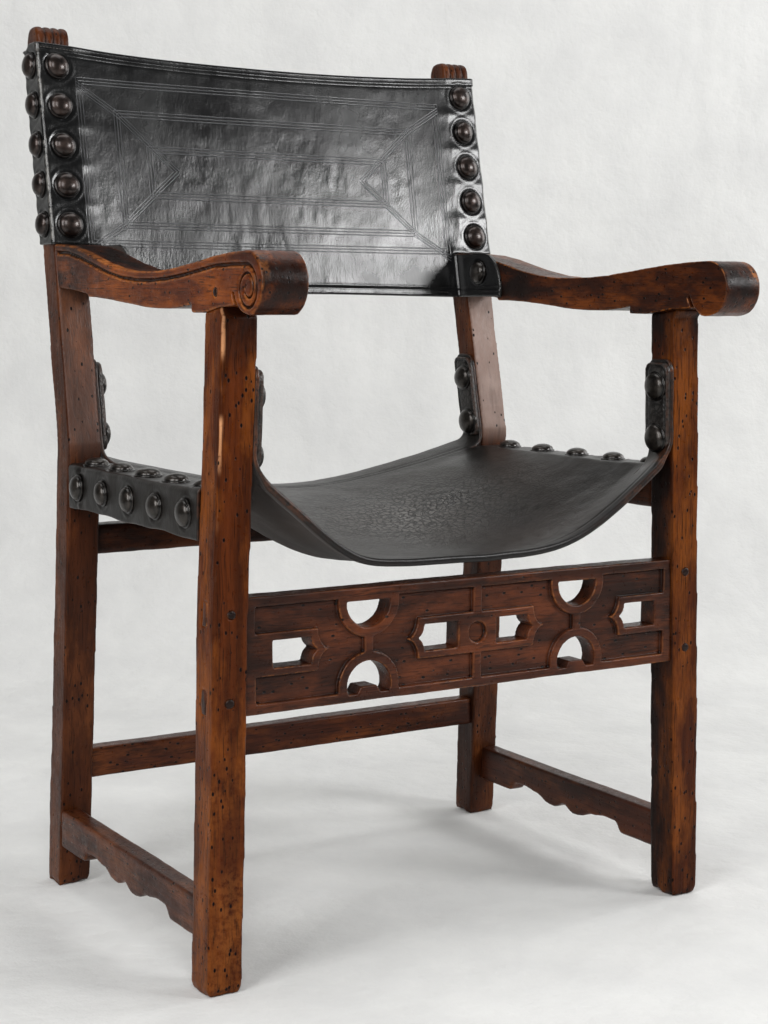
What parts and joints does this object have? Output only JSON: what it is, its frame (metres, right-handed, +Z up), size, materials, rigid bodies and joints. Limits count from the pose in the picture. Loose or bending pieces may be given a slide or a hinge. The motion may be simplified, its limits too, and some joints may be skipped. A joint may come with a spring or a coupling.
{
  "type": "armchair",
  "caption": "Low walnut armchair with scrolled arms, a raked back and a pierced front stretcher, and with thick leather slung between the seat rails and nailed across the back.",
  "frame": {"origin": "middle of the chair's outline, on the floor under the feet", "axes": "+Z up, -Y the way the sitter faces, +X to the viewer's right when the viewer faces the chair"},
  "size_m": [0.64, 0.585, 1.004],
  "materials": {
    "walnut": "worn wax",
    "pegs": "worn wax",
    "leather": "polished by wear",
    "nails": "dark bronze patina"
  },
  "bodies": {
    "root": {"front_leg_left": "walnut", "front_leg_right": "walnut", "rear_post_left": "walnut", "rear_post_right": "walnut", "arm_left": "walnut", "arm_right": "walnut", "front_stretcher": "walnut", "rear_stretcher": "walnut", "rear_seat_rail": "walnut", "side_stretcher_left": "walnut", "side_stretcher_right": "walnut", "seat_rail_left": "walnut", "seat_rail_right": "walnut", "front_stretcher_pegs": "pegs", "arm_pegs": "pegs", "seat_leather": "leather", "front_ear_pad_left": "leather", "front_ear_pad_right": "leather", "rear_ear_pad_left": "leather", "rear_ear_pad_right": "leather", "back_leather": "leather", "back_front_nails_left": "nails", "back_front_nails_right": "nails", "back_side_nails_left": "nails", "back_side_nails_right": "nails", "flap_nails": "nails", "rail_side_nails_left": "nails", "rail_side_nails_right": "nails", "rail_top_nails_left": "nails", "rail_top_nails_right": "nails", "ear_nails_left": "nails", "ear_nails_right": "nails"}
  },
  "joints": []
}
